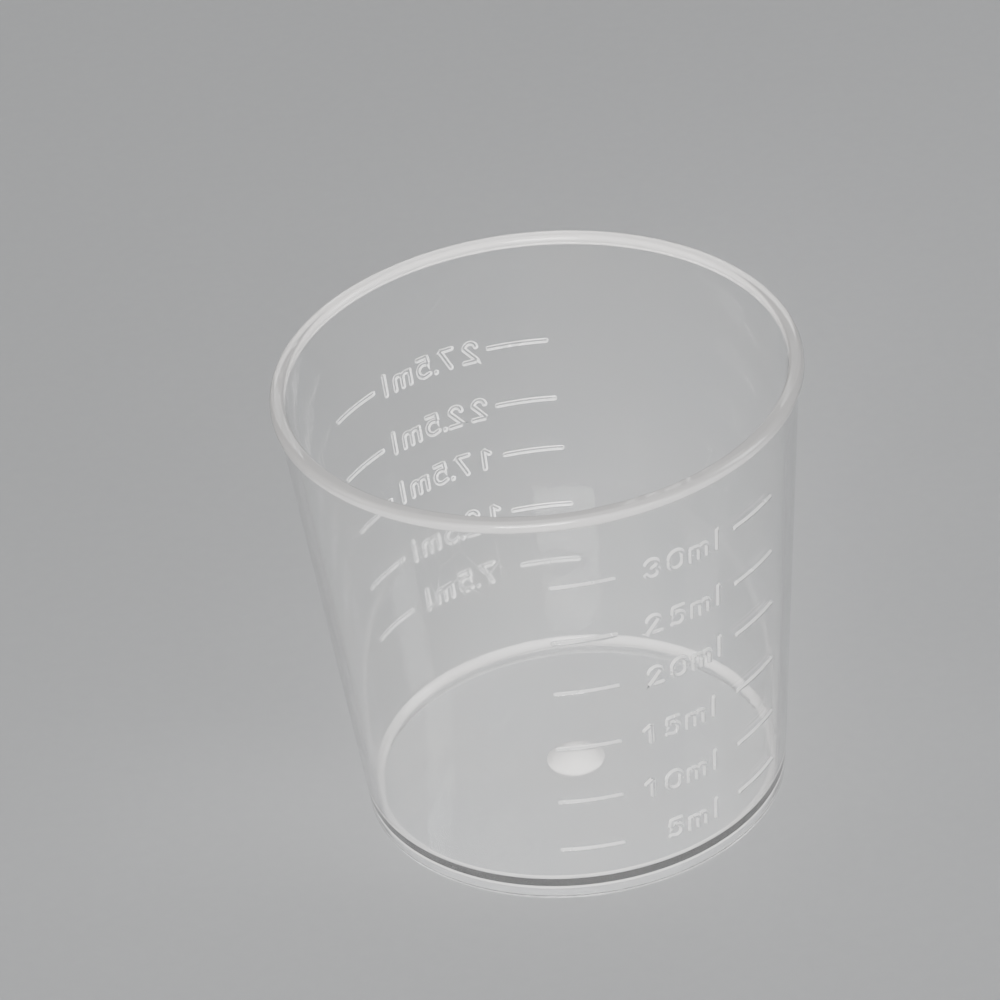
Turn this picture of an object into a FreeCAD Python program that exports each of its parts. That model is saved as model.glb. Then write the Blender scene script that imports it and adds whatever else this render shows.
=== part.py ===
"""Graduated 30 ml measuring cup, moulded in one piece of translucent plastic.

Millimetres, +Z up. The origin is the centre of the circle that the foot stands on. The wall, rim, floor,
foot and gate dome are revolved bodies. Each graduation is a pair of raised dashes with a raised figure
between them: whole steps of 5 ml on one side of the cup, and the half steps on the other side.
"""

import FreeCAD, Part
import math
import os

import Sketcher

V = FreeCAD.Vector

SIZES = {
    "rim_radius": 20.5,
    "rim_height": 1.0,
    "rim_inner_round": 0.3,
    "cup_height": 38.0,
    "foot_radius": 16.6,
    "wall_top_radius": 20.1,
    "wall_thickness": 0.75,
    "foot_height": 0.9,
    "floor_thickness": 0.65,
    "dome_radius": 2.3,
    "dome_rise": 0.9,
    "relief_height": 0.22,
    "stroke_width": 0.44,
    "figure_height": 2.1,
    "dash_length": 5.15,
    "dash_offset": 7.8,
}

# Azimuth of the middle of each column of graduations, in degrees from +X.
WHOLE_STEPS_AZIMUTH = -61.8
HALF_STEPS_AZIMUTH = 117.0

# Graduations of each column: its figure, the height of its dashes, and the middle of its last letter.
WHOLE_STEPS = [
    ("5", 5.05, 2.8),
    ("10", 9.95, 2.8),
    ("15", 15.35, 2.8),
    ("20", 20.9, 3.55),
    ("25", 25.95, 3.55),
    ("30", 31.35, 3.55),
]
HALF_STEPS = [
    ("7.5", 8.9, 3.5),
    ("12.5", 13.65, 4.1),
    ("17.5", 18.8, 4.1),
    ("22.5", 23.3, 4.1),
    ("27.5", 28.5, 4.1),
]

# Step from the middle of a character to the middle of the one before it, as a share of the figure height.
LETTER_STEP = {"l": 0.845, "m": 1.0, "5": 0.97, "0": 0.97, "2": 0.97, "7": 0.97, ".": 0.5}
STEP_AFTER_POINT = 0.5


def arc(middle, end):
    """Arc stretch of a stroke, through middle to end."""
    return ("arc", middle, end)


# Centre lines of the engraver's alphabet, in units of the figure height: x from the middle of the character,
# y from its base. Each stroke starts at a point, and goes on by lines to further points, or by arcs.
ALPHABET = {
    "0": [[(0.33, 0.5), arc((0.0, 1.0), (-0.33, 0.5)), arc((0.0, 0.0), (0.33, 0.5))]],
    "1": [[(-0.17, 0.76), (0.14, 1.0), (0.14, 0.0)]],
    "2": [[(-0.31, 0.74), arc((0.0, 1.0), (0.29, 0.74)), (-0.32, 0.0), (0.35, 0.0)]],
    "3": [
        [(-0.3, 0.82), arc((0.02, 1.0), (0.29, 0.76)), arc((0.2, 0.6), (0.0, 0.54))],
        [(0.0, 0.54), arc((0.32, 0.28), (0.02, 0.0)), arc((-0.2, 0.06), (-0.32, 0.2))],
    ],
    "5": [[(0.29, 1.0), (-0.22, 1.0), (-0.26, 0.6), arc((0.32, 0.31), (0.0, 0.0)), (-0.28, 0.08)]],
    "7": [[(-0.3, 1.0), (0.3, 1.0), (-0.17, 0.0)]],
    ".": [[(0.0, 0.0), (0.0, 0.03)]],
    "m": [
        [(-0.46, 0.7), (-0.46, 0.0)],
        [(-0.46, 0.48), arc((-0.23, 0.7), (0.0, 0.48)), (0.0, 0.0)],
        [(0.0, 0.48), arc((0.23, 0.7), (0.46, 0.48)), (0.46, 0.0)],
    ],
    "l": [[(0.0, 1.05), (0.0, 0.0)]],
}


def make_sheet(doc):
    sheet = doc.addObject("Spreadsheet::Sheet", "Sizes")
    for row, (alias, value) in enumerate(SIZES.items(), start=1):
        sheet.set(f"A{row}", alias)
        sheet.set(f"B{row}", str(value))
        sheet.setAlias(f"B{row}", alias)
    doc.recompute()
    return sheet


def plane_of(body, role):
    return next(plane for plane in body.Origin.OriginFeatures if plane.Role == role)


def revolved_body(doc, label, corners, arc_centres=None):
    """Body of revolution about Z. corners are (radius, height) formulas of the sheet, in order round the
    section. A side is named by the index of the corner it starts from. arc_centres lists the sides that are
    arcs: the formula of the radius their centre lies at, and whether they turn counter-clockwise."""
    arc_centres = arc_centres or {}
    body = doc.addObject("PartDesign::Body", label)
    sketch = body.newObject("Sketcher::SketchObject", label + "_section")
    sketch.AttachmentSupport = (plane_of(body, "XZ_Plane"), "")
    sketch.MapMode = "FlatFace"
    ends = [V(*(float(sketch.evalExpression(formula)) for formula in corner), 0) for corner in corners]
    for index, start in enumerate(ends):
        end = ends[(index + 1) % len(ends)]
        if index in arc_centres:
            add_arc(sketch, start, end, *arc_centres[index])
        else:
            sketch.addGeometry(Part.LineSegment(start, end), False)
    join_sides(sketch, corners, arc_centres)
    turn = body.newObject("PartDesign::Revolution", label + "_turn")
    turn.Profile = sketch
    turn.ReferenceAxis = (sketch, ["V_Axis"])
    turn.Angle = 360.0
    body.Label = label
    body.Tip = turn
    return body


def arc_centre(start, end, centre_x):
    """Centre on the line x = centre_x that is as far from start as from end."""
    run, rise = end.x - start.x, end.y - start.y
    middle = (start + end) * 0.5
    return V(centre_x, middle.y - (centre_x - middle.x) * run / rise, 0)


def add_arc(sketch, start, end, centre_formula, counter_clockwise):
    centre = arc_centre(start, end, float(sketch.evalExpression(centre_formula)))
    first, last = (start, end) if counter_clockwise else (end, start)
    angles = [math.atan2(point.y - centre.y, point.x - centre.x) for point in (first, last)]
    if angles[1] <= angles[0]:
        angles[1] += 2 * math.pi
    circle = Part.Circle(centre, V(0, 0, 1), (start - centre).Length)
    sketch.addGeometry(Part.ArcOfCircle(circle, *angles), False)


def join_sides(sketch, corners, arc_centres):
    """Closes the section and binds its corners and arc centres to the sheet."""

    def end_points(side):
        clockwise = side in arc_centres and not arc_centres[side][1]
        return (2, 1) if clockwise else (1, 2)

    count = len(corners)
    for side in range(count):
        follower = (side + 1) % count
        joint = Sketcher.Constraint(
            "Coincident", side, end_points(side)[1], follower, end_points(follower)[0]
        )
        sketch.addConstraint(joint)
    for side, corner in enumerate(corners):
        for kind, formula in zip(("DistanceX", "DistanceY"), corner):
            bind(sketch, kind, side, end_points(side)[0], formula)
    arc_middle = 3
    for side, (formula, _) in arc_centres.items():
        bind(sketch, "DistanceX", side, arc_middle, formula)


def bind(sketch, kind, side, point, formula):
    """Holds one coordinate of a point at a formula of the sheet. A zero puts the point on an axis."""
    upright_axis, level_axis = -2, -1
    origin = (-1, 1)
    value = float(sketch.evalExpression(formula))
    if value == 0.0:
        axis = upright_axis if kind == "DistanceX" else level_axis
        sketch.addConstraint(Sketcher.Constraint("PointOnObject", side, point, axis))
        return
    index = sketch.addConstraint(Sketcher.Constraint(kind, *origin, side, point, value))
    sketch.setExpression(f"Constraints[{index}]", formula)


def wall_section():
    """Outer and inner corners of the side wall, as formulas: the foot, the floor and the rim share them."""
    slope = "(Sizes.wall_top_radius - Sizes.foot_radius) / (Sizes.cup_height - Sizes.rim_height)"
    floor_bottom = "Sizes.foot_height"
    floor_top = "Sizes.foot_height + Sizes.floor_thickness"
    top = "Sizes.cup_height - Sizes.rim_height"
    outer = {z: f"Sizes.foot_radius + {slope} * ({z})" for z in ("0", floor_bottom, floor_top, top)}
    inner = {z: f"{radius} - Sizes.wall_thickness" for z, radius in outer.items()}
    return outer, inner, floor_bottom, floor_top, top


def make_shell(doc):
    """Wall, rim, floor, foot and gate dome: the five revolved regions of the moulding."""
    outer, inner, floor_bottom, floor_top, top = wall_section()
    wall = [
        (outer[floor_bottom], floor_bottom),
        (outer[top], top),
        (inner[top], top),
        (inner[floor_bottom], floor_bottom),
    ]
    foot = [
        (inner["0"], "0"),
        (outer["0"], "0"),
        (outer[floor_bottom], floor_bottom),
        (inner[floor_bottom], floor_bottom),
    ]
    floor = [
        ("Sizes.dome_radius", floor_bottom),
        (inner[floor_bottom], floor_bottom),
        (inner[floor_top], floor_top),
        ("Sizes.dome_radius", floor_top),
    ]
    bead_centre = "Sizes.rim_radius - Sizes.rim_height / 2"
    rim = [
        (inner[top], top),
        (bead_centre, top),
        (bead_centre, "Sizes.cup_height"),
        (f"{inner[top]} + Sizes.rim_inner_round", "Sizes.cup_height"),
        (inner[top], "Sizes.cup_height - Sizes.rim_inner_round"),
    ]
    rim_arcs = {1: (bead_centre, True), 3: (f"{inner[top]} + Sizes.rim_inner_round", True)}
    return [
        revolved_body(doc, "cup_wall", wall),
        revolved_body(doc, "foot_ring", foot),
        revolved_body(doc, "floor_plate", floor),
        revolved_body(doc, "rim_bead", rim, rim_arcs),
        make_gate_dome(doc, floor_bottom, floor_top),
    ]


def make_gate_dome(doc, floor_bottom, floor_top):
    """Domed well of even thickness: it rises inside the cup, and is hollow underneath."""
    underside_radius = "Sizes.dome_radius - Sizes.floor_thickness / 2"
    section = [
        (underside_radius, floor_bottom),
        ("Sizes.dome_radius", floor_bottom),
        ("Sizes.dome_radius", floor_top),
        ("0", f"{floor_top} + Sizes.dome_rise"),
        ("0", f"{floor_bottom} + Sizes.dome_rise"),
    ]
    return revolved_body(doc, "gate_dome", section, {2: ("0", True), 4: ("0", False)})


def make_relief_shell(doc):
    """Thin conical shell that hugs the outside of the wall. Raised marks are cut out of it."""
    cones = []
    for name, proud in (("relief_outside", "Sizes.relief_height"), ("relief_inside", "0")):
        cone = doc.addObject("Part::Cone", name)
        cone.setExpression("Radius1", f"Sizes.foot_radius + {proud}")
        cone.setExpression("Radius2", f"Sizes.wall_top_radius + {proud}")
        cone.setExpression("Height", "Sizes.cup_height - Sizes.rim_height")
        cones.append(cone)
    shell = doc.addObject("Part::Cut", "relief_shell")
    shell.Base, shell.Tool = cones
    return shell


def stroke_face(points, scale, half_width):
    """Flat shape that a round pen of the stroke's width draws along one stroke of the alphabet."""
    here = V(*points[0], 0) * scale
    edges = []
    for item in points[1:]:
        if item[0] == "arc":
            middle, end = (V(*point, 0) * scale for point in item[1:])
            edges.append(Part.Arc(here, middle, end).toShape())
        else:
            end = V(*item, 0) * scale
            edges.append(Part.LineSegment(here, end).toShape())
        here = end
    if len(edges) == 1:
        return capsule_face(edges[0], half_width)
    wire = Part.Wire(edges)
    outline = wire.makeOffset2D(half_width, 0, False, False, False)
    if not wire.isClosed():
        return Part.Face(outline)
    inside = wire.makeOffset2D(-half_width, 0, False, False, False)
    return Part.Face(outline).cut(Part.Face(inside)).Faces[0]


def capsule_face(edge, half_width):
    start, end = (vertex.Point for vertex in edge.Vertexes)
    along = (end - start).normalize() * half_width
    aside = V(-along.y, along.x, 0)
    outline = Part.Wire([
        Part.LineSegment(start - aside, end - aside).toShape(),
        Part.Arc(end - aside, end + along, end + aside).toShape(),
        Part.LineSegment(end + aside, start + aside).toShape(),
        Part.Arc(start + aside, start - along, start - aside).toShape(),
    ])
    return Part.Face(outline)


def raised_prism(faces, azimuth, offset, base_height, radius):
    """Radial prism of one character, standing on the wall's surface at an offset along it from azimuth."""
    depth = radius * 0.5
    prisms = [face.extrude(V(0, 0, depth)) for face in faces]
    prism = prisms[0].multiFuse(prisms[1:]).removeSplitter() if len(prisms) > 1 else prisms[0]
    turn = azimuth + math.degrees(offset / radius)
    prism.rotate(V(0, 0, 0), V(1, 0, 0), 90)
    prism.rotate(V(0, 0, 0), V(0, 0, 1), turn + 90)
    outward = V(math.cos(math.radians(turn)), math.sin(math.radians(turn)), 0)
    prism.translate(outward * (radius - depth / 2) + V(0, 0, base_height))
    return prism


def figure_prisms(text, azimuth, height, last_letter, radius, sheet):
    """Prisms of a figure such as 30ml, from its last letter back to its first."""
    size = sheet.figure_height - sheet.stroke_width
    half_width = sheet.stroke_width / 2
    prisms = []
    offset = last_letter
    following = None
    for character in reversed(text):
        if following:
            step = STEP_AFTER_POINT if character == "." else LETTER_STEP[following]
            offset -= step * sheet.figure_height
        faces = [stroke_face(stroke, size, half_width) for stroke in ALPHABET[character]]
        prisms.append(raised_prism(faces, azimuth, offset, height - size / 2, radius))
        following = character
    return prisms


def dash_prisms(azimuth, height, radius, sheet):
    half = (sheet.dash_length - sheet.stroke_width) / 2
    dash = stroke_face([(-half, 0), (half, 0)], 1.0, sheet.stroke_width / 2)
    offsets = (-sheet.dash_offset, sheet.dash_offset)
    return [raised_prism([dash], azimuth, offset, height, radius) for offset in offsets]


def raised_mark(doc, label, prisms, shell):
    """The part of the relief shell that the prisms cover."""
    blank = doc.addObject("Part::Feature", label + "_blank")
    blank.Shape = Part.makeCompound(prisms)
    mark = doc.addObject("Part::Common", label)
    mark.Base, mark.Tool = blank, shell
    mark.Label = label
    return mark


def make_graduations(doc, sheet):
    shell = make_relief_shell(doc)
    slope = (sheet.wall_top_radius - sheet.foot_radius) / (sheet.cup_height - sheet.rim_height)
    marks = []
    for azimuth, steps in ((WHOLE_STEPS_AZIMUTH, WHOLE_STEPS), (HALF_STEPS_AZIMUTH, HALF_STEPS)):
        for volume, height, last_letter in steps:
            radius = sheet.foot_radius + slope * height
            name = volume.replace(".", "_") + "ml"
            dashes = dash_prisms(azimuth, height, radius, sheet)
            figure = figure_prisms(volume + "ml", azimuth, height, last_letter, radius, sheet)
            marks.append(raised_mark(doc, "ticks_" + name, dashes, shell))
            marks.append(raised_mark(doc, "label_" + name, figure, shell))
    return marks


def check(doc, parts):
    """Stops on a failed feature, or a sub-part with no valid solid."""
    for item in doc.Objects:
        if "Invalid" in item.State or "Error" in item.State:
            raise RuntimeError(f"{item.Label} failed: {item.State}")
    for part in parts:
        shape = part.Shape
        if shape.isNull() or not shape.isValid() or not shape.Solids:
            raise RuntimeError(f"{part.Label} has no valid solid")


def main():
    doc = FreeCAD.newDocument("MeasuringCup")
    sheet = make_sheet(doc)
    parts = make_shell(doc) + make_graduations(doc, sheet)
    doc.recompute()
    check(doc, parts)
    os.makedirs("parts", exist_ok=True)
    for part in parts:
        part.Shape.exportStep(os.path.join("parts", part.Label + ".step"))
        print(f"{part.Label}: {len(part.Shape.Solids)} solids, {part.Shape.Volume:.2f} mm3")


main()
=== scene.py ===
"""Looks of the graduated 30 ml measuring cup: one continuous skin of clear-to-milky moulded plastic.

The cup is a single moulding, so one closed mesh stands for all its CAD nodes. Its section is worked out
from the boxes of those nodes. The raised graduations are part of the same skin: they are a height added to
the outside of the wall, by the distance from the centre lines of an engraver's alphabet.
"""

import math

import bpy
import numpy as np
from mathutils import Matrix, Vector, geometry


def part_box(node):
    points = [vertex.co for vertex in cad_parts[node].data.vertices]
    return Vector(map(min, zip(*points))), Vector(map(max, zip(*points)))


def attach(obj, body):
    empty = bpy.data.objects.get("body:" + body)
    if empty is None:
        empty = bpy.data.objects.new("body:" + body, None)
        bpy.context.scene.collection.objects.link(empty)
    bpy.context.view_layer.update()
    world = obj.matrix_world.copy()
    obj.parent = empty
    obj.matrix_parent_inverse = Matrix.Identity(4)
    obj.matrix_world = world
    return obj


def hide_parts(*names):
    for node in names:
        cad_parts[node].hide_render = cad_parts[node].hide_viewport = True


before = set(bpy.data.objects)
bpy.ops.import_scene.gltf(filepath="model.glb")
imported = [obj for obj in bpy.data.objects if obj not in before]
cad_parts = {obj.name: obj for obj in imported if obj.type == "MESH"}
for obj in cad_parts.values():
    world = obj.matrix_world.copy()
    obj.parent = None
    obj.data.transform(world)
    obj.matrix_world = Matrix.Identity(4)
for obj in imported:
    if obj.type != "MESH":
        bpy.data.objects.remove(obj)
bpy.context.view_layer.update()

MM = 0.001

# Shape of a raised stroke, the height of a figure, and the dashes on either side of it.
STROKE_HALF_WIDTH = 0.22 * MM
STROKE_FLAT_SHARE = 0.35
STROKE_RISE = 0.21 * MM
FIGURE_HEIGHT = 2.1 * MM
PEN_WIDTH = 0.44 * MM
DASH_LENGTH = 5.15 * MM
DASH_OFFSET = 7.8 * MM

# Wall of the moulding, and the roundings of its section.
WALL_THICKNESS = 0.75 * MM
ROUNDING_STEPS = 10
DOME_STEPS = 14
CORNER_ROUND = 0.6 * MM
EDGE_ROUND = 0.12 * MM
FOOT_CORNER_ROUND = 0.15 * MM
DOME_EDGE_ROUND = 0.2 * MM
BEAD_CORNER_ROUND = 0.05 * MM
BEAD_LOWER_ROUND = 0.3 * MM
BEAD_UPPER_ROUND = 0.48 * MM
MOUTH_ROUND = 0.3 * MM

# Fineness of the mesh.
COLUMNS = 360
WALL_ROWS = 20
STROKE_STEP = 0.03 * MM
CONTOUR_STEP = 0.11 * MM
CONTOUR_GAP = 0.045 * MM

# Curves of points that follow a stroke on either side, as shares of its half width, and the directions of
# their points round its ends. The plain grid of the wall stays clear of a stroke by the last share.
CONTOUR_SHARES = (0.4, 0.55, 0.7, 0.85, 1.0, 1.3)
END_TURNS = np.radians([-60, -30, 0, 30, 60])
CLEAR_SHARE = 1.5
SEAM_AZIMUTH = math.radians(20.0)

# The shoulders of a raised mark are matt and whitish, a painted highlight along the edges of each stroke:
# the faces of the wall between these shares of its full height.
SHOULDER_SHARES = (0.03, 0.97)

# Surfaces of the moulding, in the order of its materials.
# The second surface, on the shoulders of the marks, is matt with a painted highlight.
POLISHED, MATT_PAINTED_HIGHLIGHT, THICK_AND_SHEEN = 0, 1, 2

# Plastic: how it bends light, how deep its ripples are, and what a wall lets through of a lamp's light.
PLASTIC_IOR = 1.49
RIPPLE_DEPTH = 0.05 * MM
LAMPLIGHT_THROUGH = (0.94, 0.94, 0.94, 1.0)

# Hairline scratches: their width, and what they add to the roughness and the height of the surface.
SCRATCH_WIDTH = 0.012
SCRATCH_ROUGHNESS = 0.2
SCRATCH_HEIGHT = -0.6

# Lamps: name, place, width and height, power, colour.
SOFTBOXES = [
    ("left_softbox", (-0.55, -0.05, 0.35), (0.25, 0.5), 1.2, (1.0, 0.97, 0.95)),
    ("right_softbox", (0.6, 0.0, 0.3), (0.2, 0.5), 2.5, (0.97, 0.98, 1.0)),
    ("front_softbox", (-0.1, -0.75, 0.22), (0.4, 0.25), 11.0, (1.0, 0.99, 0.98)),
    ("top_softbox", (0.0, 0.15, 0.75), (0.5, 0.5), 2.0, (1.0, 1.0, 1.0)),
    ("back_softbox", (0.05, 0.75, 0.5), (0.7, 0.35), 0.8, (1.0, 0.99, 0.98)),
]
WORLD_COLOUR = (0.62, 0.64, 0.66, 1.0)
WORLD_STRENGTH = 0.32

FLOOR_HALF_WIDTH = 2.0
FLOOR_DROP = 0.02 * MM

# The camera's place and lens, and its angles: down, aside, and about its own axis.
CAMERA_PLACE = (0.0, -0.41643, 0.30808)
CAMERA_LENS = 234.0
CAMERA_SENSOR = 36.0
CAMERA_PITCH = math.radians(34.06)
CAMERA_YAW = math.radians(-0.52)
CAMERA_ROLL = math.radians(-6.24)

# The two columns of graduations: each figure, with the middle of its last letter in millimetres from the
# middle of its row. A letter step is the way back to the character before, in units of the figure height.
WHOLE_STEPS_AZIMUTH = math.radians(-61.8)
HALF_STEPS_AZIMUTH = math.radians(117.0)
WHOLE_STEPS = [("5", 2.8), ("10", 2.8), ("15", 2.8), ("20", 3.55), ("25", 3.55), ("30", 3.55)]
HALF_STEPS = [("7.5", 3.5), ("12.5", 4.1), ("17.5", 4.1), ("22.5", 4.1), ("27.5", 4.1)]

LETTER_STEP = {"l": 0.845, "m": 1.0, "5": 0.97, "0": 0.97, "2": 0.97, "7": 0.97, ".": 0.5}
STEP_AFTER_POINT = 0.5


def arc(middle, end):
    """Arc stretch of a stroke, through middle to end."""
    return ("arc", middle, end)


# Centre lines of each character, from its middle and its base, in units of the figure height.
ALPHABET = {
    "0": [[(0.33, 0.5), arc((0.0, 1.0), (-0.33, 0.5)), arc((0.0, 0.0), (0.33, 0.5))]],
    "1": [[(-0.17, 0.76), (0.14, 1.0), (0.14, 0.0)]],
    "2": [[(-0.31, 0.74), arc((0.0, 1.0), (0.29, 0.74)), (-0.32, 0.0), (0.35, 0.0)]],
    "3": [
        [(-0.3, 0.82), arc((0.02, 1.0), (0.29, 0.76)), arc((0.2, 0.6), (0.0, 0.54))],
        [(0.0, 0.54), arc((0.32, 0.28), (0.02, 0.0)), arc((-0.2, 0.06), (-0.32, 0.2))],
    ],
    "5": [[(0.29, 1.0), (-0.22, 1.0), (-0.26, 0.6), arc((0.32, 0.31), (0.0, 0.0)), (-0.28, 0.08)]],
    "7": [[(-0.3, 1.0), (0.3, 1.0), (-0.17, 0.0)]],
    ".": [[(0.0, 0.0), (0.0, 0.03)]],
    "m": [
        [(-0.46, 0.7), (-0.46, 0.0)],
        [(-0.46, 0.48), arc((-0.23, 0.7), (0.0, 0.48)), (0.0, 0.0)],
        [(0.0, 0.48), arc((0.23, 0.7), (0.46, 0.48)), (0.46, 0.0)],
    ],
    "l": [[(0.0, 1.05), (0.0, 0.0)]],
}


def stroke_line(points, scale):
    """Centre line of one stroke as close-set points, in metres."""
    line = [np.array(points[0]) * scale]
    for item in points[1:]:
        here = line[-1]
        if item[0] == "arc":
            middle, end = (np.array(point) * scale for point in item[1:])
            line += arc_points(here, middle, end)
        else:
            end = np.array(item) * scale
            count = max(2, round(float(np.linalg.norm(end - here)) / STROKE_STEP))
            line += [here + (end - here) * i / count for i in range(1, count)]
            line.append(end)
    return np.array(line)


def arc_points(start, middle, end):
    """Points after start on the circle through start, middle and end."""
    a = middle - start
    b = end - start
    a_square = a @ a
    b_square = b @ b
    # Four times the area of the triangle, positive when the arc turns counter-clockwise.
    turn_sign = 2 * (a[0] * b[1] - a[1] * b[0])
    offset = np.array([b[1] * a_square - a[1] * b_square, a[0] * b_square - b[0] * a_square])
    centre = start + offset / turn_sign
    first, last = (math.atan2(*(point - centre)[::-1]) for point in (start, end))
    turn = (last - first) % (2 * math.pi)
    if turn_sign < 0:
        turn -= 2 * math.pi
    radius = float(np.linalg.norm(start - centre))
    count = max(4, round(abs(turn) * radius / STROKE_STEP))
    angles = first + turn * np.arange(1, count + 1) / count
    return list(centre + radius * np.stack([np.cos(angles), np.sin(angles)], axis=1))


def figure_strokes(text, last_letter):
    """Centre lines of a figure such as 30ml, about the middle of its row."""
    size = FIGURE_HEIGHT - PEN_WIDTH
    strokes = []
    offset = last_letter * MM
    following = None
    for character in reversed(text):
        if following:
            step = STEP_AFTER_POINT if character == "." else LETTER_STEP[following]
            offset -= step * FIGURE_HEIGHT
        shift = np.array([offset, -size / 2])
        strokes += [stroke_line(stroke, size) + shift for stroke in ALPHABET[character]]
        following = character
    return strokes


def dash_strokes():
    half = (DASH_LENGTH - PEN_WIDTH) / 2
    dash = stroke_line([(-half, 0.0), (half, 0.0)], 1.0)
    return [dash + np.array([side * DASH_OFFSET, 0.0]) for side in (-1, 1)]


def distance_to(strokes, points):
    """Distance from each point to the nearest centre line. Points far from all of them get a long one."""
    far = 1.0
    nearest = np.full(len(points), far)
    reach = 4 * STROKE_HALF_WIDTH
    for line in strokes:
        low, high = line.min(0) - reach, line.max(0) + reach
        close = np.nonzero(((points > low) & (points < high)).all(1))[0]
        if not len(close):
            continue
        start, along = line[:-1], line[1:] - line[:-1]
        gap = points[close][:, None, :] - start[None]
        share = np.clip((gap * along).sum(2) / (along**2).sum(1), 0, 1)
        distance = np.linalg.norm(gap - share[..., None] * along, axis=2).min(1)
        nearest[close] = np.minimum(nearest[close], distance)
    return nearest


def rise_at(distance):
    """Height of the relief: a flat top, and shoulders that round over into the wall."""
    flat = STROKE_FLAT_SHARE * STROKE_HALF_WIDTH
    share = np.clip((distance - flat) / (STROKE_HALF_WIDTH - flat), 0, 1)
    return STROKE_RISE * (1 - share * share * (3 - 2 * share))


def contour_points(line):
    """Points along one stroke and on curves beside it and round its ends, where the relief bends."""
    stride = max(1, round(CONTOUR_STEP / float(np.linalg.norm(line[1] - line[0]))))
    along = np.gradient(line, axis=0)
    along /= np.linalg.norm(along, axis=1)[:, None]
    kept = np.unique(np.append(np.arange(0, len(line), stride), len(line) - 1))
    line, along = line[kept], along[kept]
    aside = np.stack([-along[:, 1], along[:, 0]], axis=1)
    points = [line]
    for share in CONTOUR_SHARES:
        reach = share * STROKE_HALF_WIDTH
        points += [line + aside * reach, line - aside * reach]
        for end, outward in ((line[0], -along[0]), (line[-1], along[-1])):
            heading = math.atan2(outward[1], outward[0])
            turns = heading + END_TURNS
            points.append(end + reach * np.stack([np.cos(turns), np.sin(turns)], axis=1))
    return np.concatenate(points)


def rounded_section(corners):
    """Points and outward normals of a section line, and the index where each corner's points start.
    Each corner is (radius, height, rounding)."""
    points, normals, starts = [], [], []
    for index, (radius, height, rounding) in enumerate(corners):
        here = np.array([radius, height])
        starts.append(len(points))
        if not rounding:
            points.append(here)
            normals.append(None)
            continue
        back = np.array(corners[index - 1][:2]) - here
        ahead = np.array(corners[index + 1][:2]) - here
        back, ahead = back / np.linalg.norm(back), ahead / np.linalg.norm(ahead)
        half = math.acos(float(np.clip(back @ ahead, -1, 1))) / 2
        middle = (back + ahead) / np.linalg.norm(back + ahead)
        centre = here + middle * rounding / math.sin(half)
        bulges = 1 if ahead[0] * back[1] - ahead[1] * back[0] > 0 else -1
        start, end = (here + way * rounding / math.tan(half) - centre for way in (back, ahead))
        sweep = math.pi - 2 * half
        for i in range(ROUNDING_STEPS + 1):
            share = i / ROUNDING_STEPS
            arm = start * math.sin(sweep * (1 - share)) + end * math.sin(sweep * share)
            arm /= math.sin(sweep)
            points.append(centre + arm)
            normals.append(arm / rounding * bulges)
    return points, fill_normals(points, normals), starts


def fill_normals(points, normals):
    """Gives the points of an unrounded line the normal of the line through their neighbours."""
    filled = []
    for index, normal in enumerate(normals):
        if normal is None:
            after = points[min(index + 1, len(points) - 1)]
            along = after - points[max(index - 1, 0)]
            normal = np.array([along[1], -along[0]]) / np.linalg.norm(along)
            if points[index][0] == 0.0:
                normal = np.array([0.0, math.copysign(1.0, normal[1])])
        filled.append(normal)
    return filled


def section_sizes():
    """Radii and heights of the cup's section, from the boxes of its CAD nodes."""
    rim_low, rim_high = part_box("rim_bead")
    floor_low, floor_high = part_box("floor_plate")
    wall_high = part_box("cup_wall")[1]
    foot_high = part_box("foot_ring")[1]
    dome_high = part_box("gate_dome")[1]
    slope = (wall_high.x - foot_high.x) / (wall_high.z - foot_high.z)
    return {
        "rim_radius": rim_high.x,
        "rim_bottom": rim_low.z,
        "top": rim_high.z,
        "foot_radius": foot_high.x - slope * foot_high.z,
        "slope": slope,
        "floor_bottom": floor_low.z,
        "floor_top": floor_high.z,
        "dome_radius": dome_high.x,
        "dome_top": dome_high.z,
    }


SIZE = section_sizes()


def wall_radius(height):
    return SIZE["foot_radius"] + SIZE["slope"] * height


def dome_corners(base_radius, base_height, top_height):
    """Spherical cap from its edge to the axis, with no roundings."""
    rise = top_height - base_height
    sphere = (base_radius**2 + rise**2) / (2 * rise)
    edge = math.asin(base_radius / sphere)
    centre = top_height - sphere
    angles = [edge * (1 - i / DOME_STEPS) for i in range(DOME_STEPS + 1)]
    return [(sphere * math.sin(a), centre + sphere * math.cos(a), 0) for a in angles]


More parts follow.
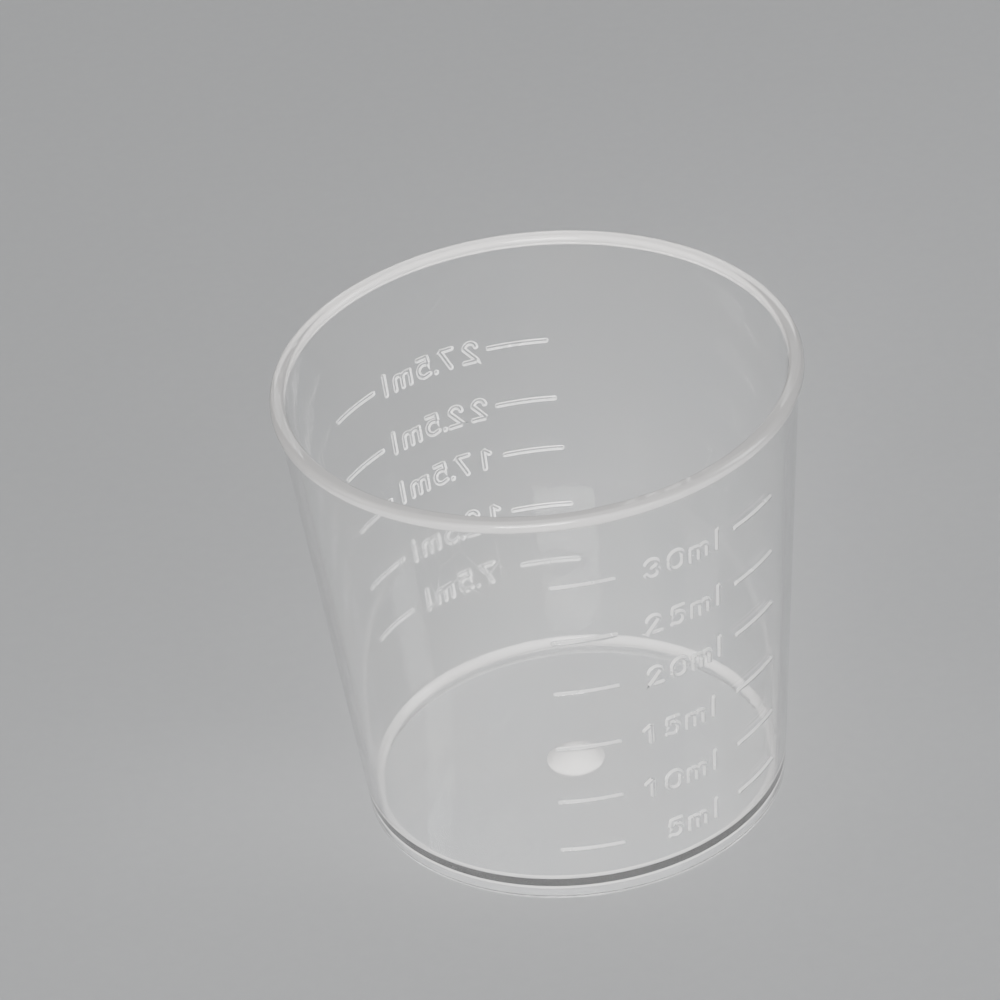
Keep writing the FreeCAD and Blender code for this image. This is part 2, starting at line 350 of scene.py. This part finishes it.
def cup_section():
    """Section of the moulding from the axis underneath, round the outside, to the axis inside: its points
    and normals, and the two indices between which it is the outside of the wall."""
    top, rim_bottom = SIZE["top"], SIZE["rim_bottom"]
    floor_bottom, floor_top = SIZE["floor_bottom"], SIZE["floor_top"]
    dome_radius, dome_top = SIZE["dome_radius"], SIZE["dome_top"]
    thickness = floor_top - floor_bottom
    under = dome_corners(dome_radius - thickness / 2, floor_bottom, dome_top - thickness)
    inside = dome_corners(dome_radius, floor_top, dome_top)
    inner_foot = SIZE["foot_radius"] - WALL_THICKNESS
    corners = list(reversed(under[1:])) + [
        (*under[0][:2], DOME_EDGE_ROUND),
        (inner_foot + SIZE["slope"] * floor_bottom, floor_bottom, FOOT_CORNER_ROUND),
        (inner_foot, 0.0, EDGE_ROUND),
        (SIZE["foot_radius"], 0.0, EDGE_ROUND),
    ]
    wall_corner = len(corners)
    corners += [
        (wall_radius(rim_bottom), rim_bottom, BEAD_CORNER_ROUND),
        (SIZE["rim_radius"], rim_bottom, BEAD_LOWER_ROUND),
        (SIZE["rim_radius"], top, BEAD_UPPER_ROUND),
        (wall_radius(rim_bottom) - WALL_THICKNESS, top, MOUTH_ROUND),
        (wall_radius(floor_top) - WALL_THICKNESS, floor_top, CORNER_ROUND),
        (*inside[0][:2], DOME_EDGE_ROUND),
    ] + inside[1:]
    points, normals, starts = rounded_section(corners)
    return points, normals, (starts[wall_corner] - 1, starts[wall_corner])


def polar(radius, azimuth, height):
    """Points, or directions, at azimuths round the Z axis."""
    return np.stack([radius * np.cos(azimuth), radius * np.sin(azimuth), height + 0 * azimuth], axis=1)


def graduations():
    """Each mark as its azimuth, height and centre lines."""
    marks = []
    for azimuth, steps in ((WHOLE_STEPS_AZIMUTH, WHOLE_STEPS), (HALF_STEPS_AZIMUTH, HALF_STEPS)):
        for volume, last_letter in steps:
            low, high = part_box("ticks_" + volume.replace(".", "_") + "ml")
            strokes = dash_strokes() + figure_strokes(volume + "ml", last_letter)
            marks.append((azimuth, (low.z + high.z) / 2, strokes))
    return marks


def relief(azimuths, heights, marks):
    """Height of the raised marks at points of the wall."""
    rise = np.zeros(len(azimuths))
    for azimuth, row, strokes in marks:
        turn = (azimuths - azimuth + math.pi) % (2 * math.pi) - math.pi
        local = np.stack([turn * wall_radius(row), heights - row], axis=1)
        rise = np.maximum(rise, rise_at(distance_to(strokes, local)))
    return rise


def spread_out(points, gap):
    """The points, less each one that lies within gap of one kept before it."""
    kept = {}
    for point in points:
        cell = (math.floor(point[0] / gap), math.floor(point[1] / gap))
        around = ((cell[0] + i, cell[1] + j) for i in (-1, 0, 1) for j in (-1, 0, 1))
        if all(math.dist(point, kept[near]) > gap for near in around if near in kept):
            kept[cell] = tuple(point)
    return np.array(list(kept.values()))


def wall_patch(low_height, high_height, marks):
    """Triangles of the outside of the wall, unrolled: (azimuth, height) points that follow the strokes,
    and a plain grid between them. The first and last columns are the same line of the wall."""
    rows = np.linspace(low_height, high_height, WALL_ROWS)
    azimuths = SEAM_AZIMUTH + np.linspace(0, 2 * math.pi, COLUMNS + 1)
    grid = np.array([(azimuth, height) for height in rows for azimuth in azimuths])
    followers = []
    for azimuth, row, strokes in marks:
        line = spread_out(np.concatenate([contour_points(stroke) for stroke in strokes]), CONTOUR_GAP)
        turn = (azimuth - SEAM_AZIMUTH + line[:, 0] / wall_radius(row)) % (2 * math.pi)
        followers.append(np.stack([SEAM_AZIMUTH + turn, row + line[:, 1]], axis=1))
    inner = (grid[:, 1] > low_height) & (grid[:, 1] < high_height)
    inner &= (grid[:, 0] > azimuths[0]) & (grid[:, 0] < azimuths[-1])
    clear = np.ones(len(grid), bool)
    scale = np.array([wall_radius((low_height + high_height) / 2), 1.0])
    for azimuth, row, strokes in marks:
        turn = (grid[:, 0] - azimuth + math.pi) % (2 * math.pi) - math.pi
        local = np.stack([turn * wall_radius(row), grid[:, 1] - row], axis=1)
        clear &= distance_to(strokes, local) > CLEAR_SHARE * STROKE_HALF_WIDTH
    points = np.concatenate([grid[clear | ~inner], *followers])
    flat = [Vector(point) for point in points * scale / MM]
    whole_area, tolerance = 0, 1e-6
    made = geometry.delaunay_2d_cdt(flat, [], [], whole_area, tolerance, True)
    triangles, sources = made[2], made[3]
    return points[[source[0] for source in sources]], triangles


def build_skin(marks):
    """One closed mesh of the whole moulding, with the relief on the outside of its wall: its vertices,
    their normals, its faces, and the surface that each face belongs to."""
    section, section_normals, (low, high) = cup_section()
    azimuths = SEAM_AZIMUTH + 2 * math.pi * np.arange(COLUMNS) / COLUMNS
    vertices, normals, rings = [], [], []
    for (radius, height), (out, up) in zip(section, section_normals):
        start = len(vertices)
        if radius == 0.0:
            vertices.append((0.0, 0.0, height))
            normals.append((0.0, 0.0, up))
            rings.append([start] * COLUMNS)
            continue
        vertices += map(tuple, polar(radius, azimuths, height))
        normals += map(tuple, polar(out, azimuths, up))
        rings.append(list(range(start, start + COLUMNS)))
    faces, surfaces = [], []
    for index in range(len(rings) - 1):
        if index == low:
            continue
        surfaces += [THICK_AND_SHEEN if is_thick_or_sheen(section[index], section[index + 1]) else POLISHED] * COLUMNS
        for column in range(COLUMNS):
            after = (column + 1) % COLUMNS
            quad = [rings[index][column], rings[index][after]]
            quad += [rings[index + 1][after], rings[index + 1][column]]
            faces.append(list(dict.fromkeys(quad)))
    heights = section[low][1], section[high][1]
    surfaces += add_wall(vertices, normals, faces, rings[low], rings[high], *heights, marks)
    return vertices, normals, faces, surfaces


def is_thick_or_sheen(start, end):
    """Whether a stretch of the section is on the rim bead, on the corner where the floor meets the wall,
    or on the gate dome: the plastic is deepest there. On the gate dome the milkier plastic is also a
    painted sheen, in place of the light the dome reflects and bends."""
    low_height, high_height = sorted((start[1], end[1]))
    on_rim = low_height > SIZE["rim_bottom"] - EDGE_ROUND
    corner_radius = wall_radius(SIZE["floor_top"]) - WALL_THICKNESS - 2 * CORNER_ROUND
    above_foot = low_height > SIZE["floor_bottom"] - 2 * FOOT_CORNER_ROUND
    on_corner = min(start[0], end[0]) > corner_radius and above_foot
    on_corner = on_corner and high_height < SIZE["floor_top"] + 2 * CORNER_ROUND
    # The gate dome gets the milky material as a painted sheen, in place of the light it reflects and
    # bends.
    on_dome = max(start[0], end[0]) < SIZE["dome_radius"]
    return on_rim or on_corner or on_dome


def add_wall(vertices, normals, faces, low_ring, high_ring, low_height, high_height, marks):
    """Adds the outside of the wall between two rings that are there already, and returns the surface that
    each of its faces belongs to."""
    points, triangles = wall_patch(low_height, high_height, marks)
    turns, heights = points[:, 0], points[:, 1]
    rise = relief(turns, heights, marks)
    step = 0.01 * MM
    radius = wall_radius(heights)
    ahead = relief(turns + step / radius, heights, marks)
    behind = relief(turns - step / radius, heights, marks)
    above = relief(turns, heights + step, marks)
    below = relief(turns, heights - step, marks)
    across = np.stack([-np.sin(turns), np.cos(turns), 0 * turns], axis=1)
    lean = math.atan(SIZE["slope"])
    outward = polar(math.cos(lean), turns, -math.sin(lean))
    upward = polar(math.sin(lean), turns, math.cos(lean))
    bent = outward - across * ((ahead - behind) / (2 * step))[:, None]
    bent -= upward * ((above - below) / (2 * step))[:, None]
    bent /= np.linalg.norm(bent, axis=1)[:, None]
    places = polar(radius, turns, heights) + outward * rise[:, None]
    numbers = []
    on_seam = {}
    same = 1e-9
    for place, normal, turn, height in zip(places, bent, turns, heights):
        column = round((turn - SEAM_AZIMUTH) / (2 * math.pi) * COLUMNS) % COLUMNS
        seam = abs(math.remainder(turn - SEAM_AZIMUTH, 2 * math.pi)) < same
        level = round(height / step)
        if abs(height - low_height) < same:
            numbers.append(low_ring[column])
        elif abs(height - high_height) < same:
            numbers.append(high_ring[column])
        elif seam and level in on_seam:
            numbers.append(on_seam[level])
        else:
            numbers.append(len(vertices))
            vertices.append(tuple(place))
            normals.append(tuple(normal))
            if seam:
                on_seam[level] = numbers[-1]
    faces += [[numbers[corner] for corner in triangle] for triangle in triangles]
    corners = np.array(triangles)
    middles = points[corners].mean(1)
    share = relief(middles[:, 0], middles[:, 1], marks) / STROKE_RISE
    # Faces on a shoulder get the whitish matt material, a painted highlight along each stroke.
    on_shoulder = (share > SHOULDER_SHARES[0]) & (share < SHOULDER_SHARES[1])
    return list(np.where(on_shoulder, MATT_PAINTED_HIGHLIGHT, POLISHED))


def make_cup(marks):
    vertices, normals, faces, surfaces = build_skin(marks)
    mesh = bpy.data.meshes.new("measuring_cup")
    mesh.from_pydata(vertices, [], faces)
    mesh.polygons.foreach_set("material_index", surfaces)
    mesh.shade_smooth()
    mesh.normals_split_custom_set_from_vertices(normals)
    cup = bpy.data.objects.new("measuring_cup", mesh)
    bpy.context.scene.collection.objects.link(cup)
    return cup


def add_node(tree, kind, inputs=None, **settings):
    """New shader node, with its settings and the constants or links of its inputs."""
    node = tree.nodes.new(kind)
    for name, value in settings.items():
        setattr(node, name, value)
    for name, value in (inputs or {}).items():
        if isinstance(value, bpy.types.NodeSocket):
            tree.links.new(value, node.inputs[name])
        else:
            node.inputs[name].default_value = value
    return node


def new_material(name):
    material = bpy.data.materials.new(name)
    material.use_nodes = True
    tree = material.node_tree
    tree.nodes.clear()
    return material, tree, tree.nodes.new("ShaderNodeOutputMaterial")


def remapped(tree, value, source, target):
    """A value carried from one range to another, and held within it."""
    limits = {"From Min": source[0], "From Max": source[1], "To Min": target[0], "To Max": target[1]}
    return add_node(tree, "ShaderNodeMapRange", {"Value": value, **limits}).outputs["Result"]


def mixed_colour(tree, factor, first, second):
    """Colour between two. The mix node holds its colour sockets after its number and vector ones."""
    colour_a, colour_b, colour_result = 6, 7, 2
    inputs = {0: factor, colour_a: first, colour_b: second}
    return add_node(tree, "ShaderNodeMix", inputs, data_type="RGBA").outputs[colour_result]


def stretched(tree, place, scale):
    """Coordinates scaled unevenly, for streaks and scratches."""
    return add_node(tree, "ShaderNodeMapping", {"Vector": place, "Scale": scale}).outputs["Vector"]


def scratches(tree, place, scale, density):
    """Mask of thin hairlines: the walls between the cells of a stretched pattern."""
    cells = add_node(
        tree,
        "ShaderNodeTexVoronoi",
        {"Vector": stretched(tree, place, scale), "Scale": density, "Randomness": 1.0},
        feature="DISTANCE_TO_EDGE",
    )
    return remapped(tree, cells.outputs["Distance"], (0.0, SCRATCH_WIDTH), (1.0, 0.0))


def moulded_plastic(name, roughness_range, transmission, bump_strength, tints):
    """Natural polypropylene: clear with a faint milky haze, gently uneven flow, and fine hairlines. Lamps
    shine through it, as they do through a thin clear wall."""
    material, tree, output = new_material(name)
    place = tree.nodes.new("ShaderNodeTexCoord").outputs["Object"]
    flow = add_node(
        tree,
        "ShaderNodeTexNoise",
        {"Vector": place, "Scale": 110.0, "Detail": 5.0, "Roughness": 0.55, "Distortion": 0.7},
    ).outputs["Fac"]
    lines = scratches(tree, place, (1.0, 1.3, 0.35), 260.0)
    patches = add_node(tree, "ShaderNodeTexNoise", {"Vector": place, "Scale": 60.0, "Detail": 2.0})
    scarce = remapped(tree, patches.outputs["Fac"], (0.54, 0.68), (0.0, 1.0))
    worn = add_node(tree, "ShaderNodeMath", {0: lines, 1: scarce}, operation="MULTIPLY").outputs["Value"]
    smooth = remapped(tree, flow, (0.3, 0.7), roughness_range)
    rough = add_node(
        tree, "ShaderNodeMath", {0: worn, 1: SCRATCH_ROUGHNESS, 2: smooth}, operation="MULTIPLY_ADD"
    ).outputs["Value"]
    tint = mixed_colour(tree, flow, *tints)
    ripple = add_node(
        tree,
        "ShaderNodeTexNoise",
        {"Vector": stretched(tree, place, (1.0, 1.0, 0.4)), "Scale": 420.0, "Detail": 3.0},
    ).outputs["Fac"]
    height = add_node(
        tree, "ShaderNodeMath", {0: worn, 1: SCRATCH_HEIGHT, 2: ripple}, operation="MULTIPLY_ADD"
    ).outputs["Value"]
    bump = add_node(
        tree, "ShaderNodeBump", {"Height": height, "Strength": bump_strength, "Distance": RIPPLE_DEPTH}
    ).outputs["Normal"]
    plastic = add_node(
        tree,
        "ShaderNodeBsdfPrincipled",
        {
            "Base Color": tint,
            "Roughness": rough,
            "IOR": PLASTIC_IOR,
            "Transmission Weight": transmission,
            "Normal": bump,
        },
    ).outputs["BSDF"]
    clear = add_node(tree, "ShaderNodeBsdfTransparent", {"Color": LAMPLIGHT_THROUGH}).outputs["BSDF"]
    ray = tree.nodes.new("ShaderNodeLightPath").outputs["Is Shadow Ray"]
    mix = add_node(tree, "ShaderNodeMixShader", {0: ray, 1: plastic, 2: clear}).outputs["Shader"]
    tree.links.new(mix, output.inputs["Surface"])
    return material


def cup_plastic():
    """The polished surface of the mould."""
    tints = ((0.90, 0.915, 0.93, 1.0), (0.95, 0.94, 0.925, 1.0))
    return moulded_plastic("cup_plastic", (0.02, 0.05), 0.975, 0.08, tints)


def marks_painted_highlight():
    """The shoulders of the raised marks: matt and whitish, a painted highlight in place of the light their
    curved sides catch. They scatter light.
    """
    # Whitish tints and half transmission: painted highlight on the stroke shoulders.
    tints = ((0.93, 0.93, 0.93, 1.0), (0.98, 0.975, 0.965, 1.0))
    return moulded_plastic("raised_marks", (0.24, 0.34), 0.5, 0.3, tints)


def thick_plastic_and_sheen():
    """The rim bead, the corner of the floor and the gate dome: the same plastic, milkier where there is
    more of it to look through. On the gate dome the milkiness is also a painted sheen, in place of the
    light the dome reflects and bends."""
    tints = ((0.94, 0.925, 0.915, 1.0), (0.985, 0.96, 0.94, 1.0))
    return moulded_plastic("thick_plastic_and_sheen", (0.06, 0.12), 0.62, 0.12, tints)


def floor_material():
    """Matte pale paper with a very faint grain."""
    material, tree, output = new_material("pale_floor")
    place = tree.nodes.new("ShaderNodeTexCoord").outputs["Object"]
    grain = add_node(tree, "ShaderNodeTexNoise", {"Vector": place, "Scale": 900.0, "Detail": 3.0})
    colour = mixed_colour(tree, grain.outputs["Fac"], (0.31, 0.315, 0.32, 1.0), (0.33, 0.335, 0.34, 1.0))
    paper = add_node(tree, "ShaderNodeBsdfPrincipled", {"Base Color": colour, "Roughness": 0.8})
    tree.links.new(paper.outputs["BSDF"], output.inputs["Surface"])
    return material


def make_floor():
    half = FLOOR_HALF_WIDTH
    mesh = bpy.data.meshes.new("floor")
    corners = [(-half, -half, 0), (half, -half, 0), (half, half, 0), (-half, half, 0)]
    mesh.from_pydata(corners, [], [(0, 1, 2, 3)])
    mesh.materials.append(floor_material())
    floor = bpy.data.objects.new("floor", mesh)
    floor.location.z = -FLOOR_DROP
    bpy.context.scene.collection.objects.link(floor)


def add_softbox(name, place, size, power, colour):
    """Rectangular area light that faces the middle of the cup."""
    light = bpy.data.lights.new(name, "AREA")
    light.shape = "RECTANGLE"
    light.size, light.size_y = size
    light.energy = power
    light.color = colour
    lamp = bpy.data.objects.new(name, light)
    lamp.location = place
    aim = Vector((0.0, 0.0, SIZE["top"] / 2)) - lamp.location
    lamp.rotation_euler = aim.to_track_quat("-Z", "Y").to_euler()
    bpy.context.scene.collection.objects.link(lamp)


def light_scene():
    for softbox in SOFTBOXES:
        add_softbox(*softbox)
    world = bpy.data.worlds.new("studio")
    world.use_nodes = True
    background = world.node_tree.nodes["Background"]
    background.inputs["Color"].default_value = WORLD_COLOUR
    background.inputs["Strength"].default_value = WORLD_STRENGTH
    bpy.context.scene.world = world


def place_camera():
    """Long lens, looking down at the cup from the front and tipped a little to one side."""
    pitch, yaw, roll = CAMERA_PITCH, CAMERA_YAW, CAMERA_ROLL
    forward = Vector((math.sin(yaw) * math.cos(pitch), math.cos(yaw) * math.cos(pitch), -math.sin(pitch)))
    level = Vector((math.cos(yaw), -math.sin(yaw), 0.0))
    upright = level.cross(forward)
    right = level * math.cos(roll) + upright * math.sin(roll)
    up = upright * math.cos(roll) - level * math.sin(roll)
    camera = bpy.data.objects.new("camera", bpy.data.cameras.new("camera"))
    turn = Matrix((right, up, -forward)).transposed().to_4x4()
    camera.matrix_world = Matrix.Translation(CAMERA_PLACE) @ turn
    camera.data.lens = CAMERA_LENS
    camera.data.sensor_width = CAMERA_SENSOR
    bpy.context.scene.collection.objects.link(camera)
    bpy.context.scene.camera = camera


marks = graduations()
cup = make_cup(marks)
cup.data.materials.append(cup_plastic())
# Second material: the painted highlight on the shoulders of the marks.
cup.data.materials.append(marks_painted_highlight())
# Third material: milky where the plastic is thick, and a painted sheen on the gate dome.
cup.data.materials.append(thick_plastic_and_sheen())
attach(cup, "root")
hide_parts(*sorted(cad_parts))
make_floor()
light_scene()
place_camera()
